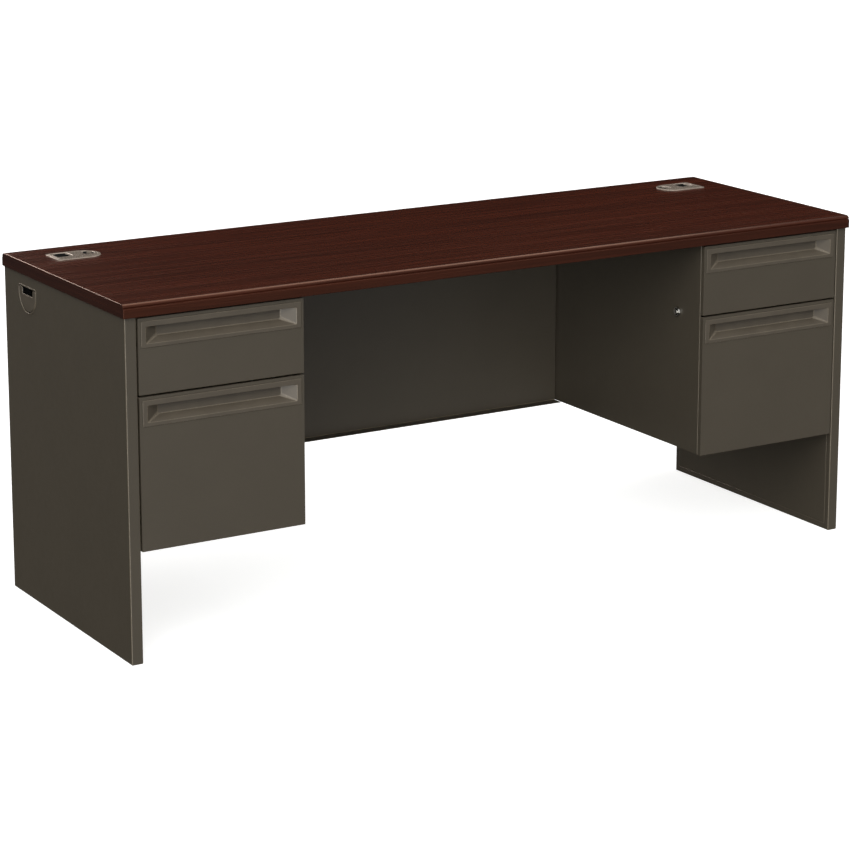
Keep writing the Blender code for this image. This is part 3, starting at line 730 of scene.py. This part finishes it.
def pedestal(side_name, side):
    low, high = place(f"{side_name}_pedestal_wall", side)
    sheet, hem = SHEET, 0.0120
    plan = [
        (low.x, low.y),
        (low.x + 2 * sheet, low.y),
        (low.x + 2 * sheet, low.y + hem),
        (low.x + sheet, low.y + hem),
        (low.x + sheet, high.y - sheet),
        (high.x, high.y - sheet),
        (high.x, high.y),
        (low.x, high.y),
    ]
    radii = [0.0011, 0.0009, 0.0004, 0, 0.0008, 0.0003, 0.0003, 0.0018]
    plan = rounded_outline(plan, radii)
    wall = bar(f"{side_name}_pedestal_side", plan, (low.z, high.z), "z", steel, side)
    hole = circle(lock_axis(side_name, side), LOCK_BARREL + GAP)
    punch(wall, hole, "x", (low.x - PAST, low.x + 2 * PAST), side)
    settle(wall, "root", "body_steel", f"{side_name}_pedestal_wall")

    low, high = place(f"{side_name}_pedestal_bottom", side)
    outline = box_outline((low.x, low.y), (high.x, high.y))
    path = [
        (PAN_FLOOR, low.z + sheet),
        (sheet, low.z + sheet),
        (sheet, high.z),
        (0.0, high.z),
        (0.0, low.z),
        (PAN_FLOOR, low.z),
    ]
    reaches = [0, 0.0008, 0.0003, 0.0003, 0.0018, 0]
    bottom = pan(f"{side_name}_pedestal_base", outline, path, reaches, "z", steel, side)
    settle(bottom, "root", "body_steel", f"{side_name}_pedestal_bottom")

    low, high = place(f"{side_name}_pedestal_back", side)
    outline = box_outline((low.x, low.z), (high.x, high.z))
    path = [
        (PAN_FLOOR, high.y - sheet),
        (sheet, high.y - sheet),
        (sheet, low.y),
        (0.0, low.y),
        (0.0, high.y),
        (PAN_FLOOR, high.y),
    ]
    back = pan(f"{side_name}_pedestal_rear", outline, path, reaches, "y", steel, side)
    settle(back, "root", "body_steel", f"{side_name}_pedestal_back")

    low, high = place(f"{side_name}_top_rail", side)
    section = [
        (low.y, low.z),
        (low.y + sheet, low.z),
        (low.y + sheet, high.z - sheet),
        (high.y, high.z - sheet),
        (high.y, high.z),
        (low.y, high.z),
    ]
    section = rounded_outline(section, [0.0003, 0.0003, 0.0006, 0.0003, 0.0003, 0.0016])
    rail = bar(f"{side_name}_front_rail", section, (low.x, high.x), "x", steel, side)
    settle(rail, "root", "body_steel", f"{side_name}_top_rail")


def modesty_panel():
    """A flat folded panel whose foot turns forward into the kneespace."""
    low, high = place("modesty_panel")
    face = high.y - 0.0145
    section = [
        (high.y, high.z),
        (high.y, low.z),
        (low.y, low.z),
        (low.y, low.z + SHEET),
        (face, low.z + SHEET),
        (face, high.z),
    ]
    section = rounded_outline(section, [0.0003, 0.0020, 0.0005, 0.0005, 0.0020, 0.0003])
    panel = bar("modesty_sheet", section, (low.x, high.x), "x", steel)
    settle(panel, "root", "body_steel", "modesty_panel")


# ---------------------------------------------------------------- drawers


def grown(sizes, by):
    a, b, c, d = sizes
    return (a - by, b - by, c + by, d + by)


def pull_sizes(low, high):
    """The pull's plate, its opening, and the back of its recess, as (x, z, x, z) boxes."""
    middle, top, half, height = (low.x + high.x) / 2, high.z - 0.0070, 0.1800, 0.0535
    plate = (middle - half, top - height, middle + half, top)
    border, brow, mouth = 0.0100, 0.0110, 0.0350
    opening = (plate[0] + border, top - brow - mouth, plate[2] - border, top - brow)
    slope, floor, ceiling = 0.0300, 0.0120, 0.0042
    back = (opening[0] + slope, opening[1] + floor, opening[2] - slope, opening[3] + ceiling)
    return plate, opening, back


def station_loft(name, stations, reaches, material, side, ring=False, steps=5, corner_steps=6):
    loops = []
    for a, b, c, d, radius, level in softened(stations, reaches, ring, steps):
        loops.append(set_in(rounded_rectangle(a, b, c, d, radius, corner_steps), "y", level))
    return loft(name, loops, material, side, ring)


def drawer_front(prefix, side):
    low, high = place(f"{prefix}_drawer_front", side)
    plate, opening = pull_sizes(low, high)[:2]
    window = grown(opening, 0.0020)
    outer = (low.x, low.z, high.x, high.z)
    sheet, corner, joggle = 0.0010, 0.0012, 0.0007
    stations = [
        (*window, 0.0040, low.y + sheet),
        (*window, 0.0040, low.y),
        (*grown(plate, -0.0005), 0.0015, low.y),
        (*grown(plate, -0.0005), 0.0015, low.y + joggle),
        (*grown(plate, 0.0010), 0.0030, low.y + joggle),
        (*grown(plate, 0.0010), 0.0030, low.y),
        (*outer, corner, low.y),
        (*outer, corner, high.y),
        (*grown(outer, -sheet), corner, high.y),
        (*grown(outer, -sheet), corner, low.y + sheet),
    ]
    reaches = [0, 0.0002, 0, 0, 0, 0.0003, 0.0017, 0.0003, 0.0003, 0.0008]
    front = station_loft(f"{prefix}_drawer_face", stations, reaches, steel, side, True)
    settle(front, f"{prefix}_drawer", "body_steel", f"{prefix}_drawer_front")
    return low, high


def drawer_pull(prefix, side, front_low, front_high):
    plate, opening, back = pull_sizes(front_low, front_high)
    face = place(f"{prefix}_drawer_pull", side)[0].y
    seat, recess, wall = front_low.y - GAP, front_low.y + 0.0150, 0.0015
    stations = [
        (*grown(back, -0.010), 0.0030, recess),
        (*back, 0.0060, recess),
        (*opening, 0.0022, face),
        (*plate, 0.0020, face),
        (*plate, 0.0020, seat),
        (*grown(opening, wall), 0.0037, seat),
        (*grown(back, wall), 0.0075, recess + wall),
        (*grown(back, -0.010), 0.0030, recess + wall),
    ]
    reaches = [0, 0.0020, 0.0011, 0.0013, 0.0002, 0.0003, 0.0015, 0]
    name = f"{prefix}_drawer_handle"
    pull = station_loft(name, stations, reaches, plastic, side, steps=7, corner_steps=7)
    settle(pull, f"{prefix}_drawer", "body_plastic", f"{prefix}_drawer_pull")


def drawer_tray(prefix, side):
    """A folded tray with a hemmed rim, which hanging folders rest on in a file drawer."""
    low, high = place(f"{prefix}_drawer_tray", side)
    outline = box_outline((low.x, low.y), (high.x, high.y), 0.0015)
    sheet, hem, hem_height = 0.0010, 0.0032, 0.0090
    path = [
        (PAN_FLOOR, low.z + sheet),
        (sheet, low.z + sheet),
        (sheet, high.z - hem_height),
        (hem, high.z - hem_height),
        (hem, high.z),
        (0.0, high.z),
        (0.0, low.z),
        (PAN_FLOOR, low.z),
    ]
    reaches = [0, 0.0030, 0.0004, 0.0004, 0.0014, 0.0014, 0.0022, 0]
    tray = pan(f"{prefix}_drawer_pan", outline, path, reaches, "z", tray_paint, side)
    settle(tray, f"{prefix}_drawer", "tray_steel", f"{prefix}_drawer_tray")

    # Rivets that hold the tray to its slides, seen inside it.
    rail_low, rail_high = place(f"{prefix}_knee_drawer_rail", side)
    height = (rail_low.z + rail_high.z) / 2
    head = softened([(0.0042, 0.0), (0.0040, 0.0009), (0.0016, 0.0016), (0.0004, 0.0016)], 0.0007)
    head = [(0.0042, -0.0004)] + head
    mesh = bmesh.new()
    for wall, inwards in ((low.x + sheet, 1.0), (high.x - sheet, -1.0)):
        for share in (0.06, 0.50, 0.94):
            y = low.y + (high.y - low.y) * share
            loops = []
            for radius, rise in head:
                loops.append(set_in(circle((y, height), radius, 20), "x", wall + inwards * rise))
            add_loft(mesh, loops, side)
    rivets = mesh_object(f"{prefix}_tray_rivets", mesh, (zinc,))
    settle(rivets, f"{prefix}_drawer", "slide_zinc")


def rail_section(node, side, towards_web):
    """A C section read from a rail's CAD box: a web, and two lips that turn to the other side."""
    low, high = place(node, side)
    web, lip = (low.x, high.x) if towards_web < 0 else (high.x, low.x)
    inside = web - math.copysign(SHEET, web - lip)
    points = [
        (web, low.z),
        (lip, low.z),
        (lip, low.z + SHEET),
        (inside, low.z + SHEET),
        (inside, high.z - SHEET),
        (lip, high.z - SHEET),
        (lip, high.z),
        (web, high.z),
    ]
    radii = [0.0011, 0.0005, 0.0005, 0.0007]
    return rounded_outline(points, radii + radii[::-1], 4)


def rails(prefix, kind, side):
    """The telescoping slides: rolled sections, each on the body of its CAD rail."""
    for wall_name, inwards in (("knee", 1.0), ("wall", -1.0)):
        members = {"cabinet": ("root", -inwards), "drawer": (f"{prefix}_drawer", inwards)}
        if kind == "file":
            members["middle"] = (f"{prefix}_{wall_name}_middle_rail", -inwards)
        for member, (body, towards_web) in members.items():
            node = f"{prefix}_{wall_name}_{member}_rail"
            low, high = place(node, side)
            section = rail_section(node, side, towards_web)
            rail = bar(f"{node}_rolled", section, (low.y, high.y), "y", zinc, side)
            settle(rail, body, "slide_zinc", node)


# ---------------------------------------------------------------- locks


def lock(side_name, side):
    low, high = place(f"{side_name}_lock_housing", side)
    axis = lock_axis(side_name, side)
    seat = place(f"{side_name}_pedestal_wall", side)[0].x - GAP
    flange, mouth, bore = (high.y - low.y) / 2, 0.0078, 0.0064

    def turned(name, path, reaches, material, ring=False):
        points = softened(path, reaches, ring)
        loops = [set_in(circle(axis, radius), "x", x) for radius, x in points]
        return loft(name, loops, material, side, ring)

    path = [
        (LOCK_BARREL, high.x),
        (LOCK_BARREL, seat),
        (flange, seat),
        (flange, low.x),
        (mouth, low.x),
        (bore + 0.0004, low.x + 0.0012),
        (bore, high.x),
    ]
    reaches = [0, 0, 0.0003, 0.0018, 0.0005, 0.0004, 0]
    housing = turned(f"{side_name}_lock_barrel", path, reaches, chrome, True)
    settle(housing, "root", "lock_chrome", f"{side_name}_lock_housing")

    plug_low, plug_high = place(f"{side_name}_lock_plug", side)
    radius, middle = bore - GAP, 0.0030
    path = [
        (middle, plug_low.x),
        (radius, plug_low.x),
        (radius, plug_high.x),
        (middle, plug_high.x),
    ]
    plug = turned(f"{side_name}_lock_core", path, [0, 0.0009, 0.0003, 0], chrome)
    (y, z), half_width, half_height, depth = axis, 0.0011, 0.0040, 0.0120
    keyway = (y - half_width, z - half_height, y + half_width, z + half_height)
    keyway = rounded_rectangle(*keyway, 0.0004, 2)
    punch(plug, keyway, "x", (plug_low.x - PAST, plug_low.x + depth), side)
    settle(plug, f"{side_name}_lock_plug", "lock_chrome", f"{side_name}_lock_plug")
    for part in ("cam", "bar"):
        paint_node(f"{side_name}_lock_{part}", zinc)


def paint_node(node, material):
    """Gives a CAD node that stays as it is a finish."""
    data = frame["nodes"][node].data
    data.materials.clear()
    data.materials.append(material)


# ---------------------------------------------------------------- stage, light and camera


def stage():
    """A pale floor that curves up into a round wall far from the desk, seen only by the camera."""
    mesh = bmesh.new()
    reach, cove, height, steps, below = 16.0, 4.0, 14.0, 96, 0.0002
    profile = [(reach * k / 6, -below) for k in range(1, 7)]
    profile += [(reach + u, v - below) for u, v in arc((0.0, cove), cove, -90, 0, 12)[1:]]
    profile += [(reach + cove, height)]
    rings = []
    for radius, z in profile:
        rings.append([mesh.verts.new((x, y, z)) for x, y in circle((0.0, 0.0), radius, steps)])
    mesh.faces.new(rings[0])
    for lower, upper in zip(rings, rings[1:]):
        for i in range(steps):
            mesh.faces.new((lower[i], lower[(i + 1) % steps], upper[(i + 1) % steps], upper[i]))
    f = Finish("pale_floor")
    tints = ((0.3, (0.90, 0.90, 0.895)), (0.7, (0.93, 0.93, 0.925)))
    f.use("Base Color", f.ramp(f.noise(f.place, 3.0), tints))
    f.put("Roughness", 0.9)
    f.put("Specular IOR Level", 0.1)
    f.put("Emission Color", (1.0, 1.0, 0.99, 1.0))
    f.put("Emission Strength", 0.75)
    floor = mesh_object("floor", mesh, (f.material,))
    floor.data.shade_smooth()
    floor.visible_glossy = False
    floor.visible_diffuse = False
    floor.visible_shadow = False


# The studio's soft lights: azimuth from the front, positive to the right, elevation and strength.
SOFT_LIGHTS = (
    (-45, 25, 2.87),
    (-15, 58, 1.29),
    (-15, 25, 0.33),
    (20, -8, 0.39),
    (75, 25, 0.15),
    (105, 58, 0.35),
    (-135, 58, 0.30),
    (-150, 25, 0.40),
)
SOFT_LIGHT_TIGHTNESS = 9.0


def heading(azimuth, elevation):
    """The unit vector at an azimuth from the front, positive to the right, and an elevation."""
    a, e = math.radians(azimuth), math.radians(elevation)
    return Vector((math.sin(a) * math.cos(e), -math.cos(a) * math.cos(e), math.sin(e)))


def world():
    """A dark studio with broad soft lights round the desk, each fading away from its middle."""
    sky = bpy.data.worlds.new("studio")
    bpy.context.scene.world = sky
    sky.use_nodes = True
    tree = sky.node_tree
    direction = tree.nodes.new("ShaderNodeTexCoord").outputs["Generated"]
    total = None
    for azimuth, elevation, strength in SOFT_LIGHTS:
        towards = tree.nodes.new("ShaderNodeVectorMath")
        towards.operation = "DOT_PRODUCT"
        towards.inputs[1].default_value = heading(azimuth, elevation)
        tree.links.new(direction, towards.inputs[0])
        fade = tree.nodes.new("ShaderNodeMath")
        fade.operation = "MULTIPLY_ADD"
        fade.inputs[1].default_value = SOFT_LIGHT_TIGHTNESS
        fade.inputs[2].default_value = math.log(strength) - SOFT_LIGHT_TIGHTNESS
        tree.links.new(towards.outputs["Value"], fade.inputs[0])
        glow = tree.nodes.new("ShaderNodeMath")
        glow.operation = "EXPONENT"
        tree.links.new(fade.outputs[0], glow.inputs[0])
        if total is None:
            total = glow.outputs[0]
            continue
        add = tree.nodes.new("ShaderNodeMath")
        tree.links.new(total, add.inputs[0])
        tree.links.new(glow.outputs[0], add.inputs[1])
        total = add.outputs[0]
    tree.links.new(total, tree.nodes["Background"].inputs["Strength"])
    tree.nodes["Background"].inputs["Color"].default_value = (1.0, 1.0, 1.0, 1.0)


def aim(obj, target):
    obj.rotation_euler = (Vector(target) - obj.location).to_track_quat("-Z", "Y").to_euler()


def lamp(name, kind, location, target, power, **settings):
    data = bpy.data.lights.new(name, kind)
    data.energy = power
    for key, value in settings.items():
        setattr(data, key, value)
    obj = bpy.data.objects.new(name, data)
    bpy.context.scene.collection.objects.link(obj)
    obj.location = location
    aim(obj, target)
    obj.visible_camera = False
    return obj


WHITE, CREAM = (1.0, 1.0, 1.0), (1.0, 0.95, 0.86)
PEACH, AMBER = (1.0, 0.82, 0.72), (1.0, 0.74, 0.59)
# Panels that only draw highlights: name, place, target, power, width, height and colour.
PANELS = (
    ("edge_strip", heading(-44, -4) * 3.4, (0.0, 0.0, 0.3), 22.0, 1.1, 2.8, WHITE),
    ("pull_strip", (-1.35, -3.5, -0.1), (0.86, -0.29, 0.6), 22.0, 0.7, 1.6, CREAM),
    ("end_strip", heading(-166, 30) * 4.0, (-0.9, 0.0, 0.7), 60.0, 1.6, 1.2, PEACH),
    ("nosing_panel", (0.9, 0.75, 3.0), (0.9, 0.0, 0.7), 48.0, 3.0, 2.1, AMBER),
)
# Low fills without highlights, for the sides that the photo doesn't show: name, azimuth and power.
FILLS = (("back_fill", 176, 1.3), ("right_fill", 100, 1.1))


def lights():
    """The two tables' panels and fills."""
    for name, location, target, power, width, height, colour in PANELS:
        sizes = {"shape": "RECTANGLE", "size": width, "size_y": height}
        panel = lamp(name, "AREA", location, target, power, color=colour, **sizes)
        panel.visible_diffuse = False
    for name, azimuth, power in FILLS:
        location = heading(azimuth, 4) * 5.0
        fill = lamp(name, "SUN", location, (0.0, 0.0, 0.0), power, angle=math.radians(30))
        fill.visible_glossy = False


def camera():
    """The photo's viewpoint, as fitted to the desk's corners, with a focal length in pixels."""
    focal, width, sensor = 2823.3, 850.0, 36.0
    data = bpy.data.cameras.new("camera")
    data.sensor_width = sensor
    data.lens = focal / width * sensor
    data.shift_y = -0.16
    data.clip_end = 200.0
    obj = bpy.data.objects.new("camera", data)
    bpy.context.scene.collection.objects.link(obj)
    obj.location = (-3.2034, -5.2438, 1.9588)
    yaw, pitch = 0.5431, math.radians(12.266)
    across = math.cos(pitch)
    forward = Vector((math.sin(yaw) * across, math.cos(yaw) * across, -math.sin(pitch)))
    obj.rotation_euler = forward.to_track_quat("-Z", "Y").to_euler()
    bpy.context.scene.camera = obj


# ---------------------------------------------------------------- the desk


camera()
lights()
world()
stage()
bpy.context.scene.view_settings.view_transform = "Standard"

worktop()
side_port()
modesty_panel()
for side_name, side in SIDES:
    grommet(side_name, side)
    end_panel(side_name, side)
    pedestal(side_name, side)
    lock(side_name, side)
    for kind in KINDS:
        prefix = f"{side_name}_{kind}"
        drawer_pull(prefix, side, *drawer_front(prefix, side))
        drawer_tray(prefix, side)
        rails(prefix, kind, side)

bpy.context.view_layer.update()
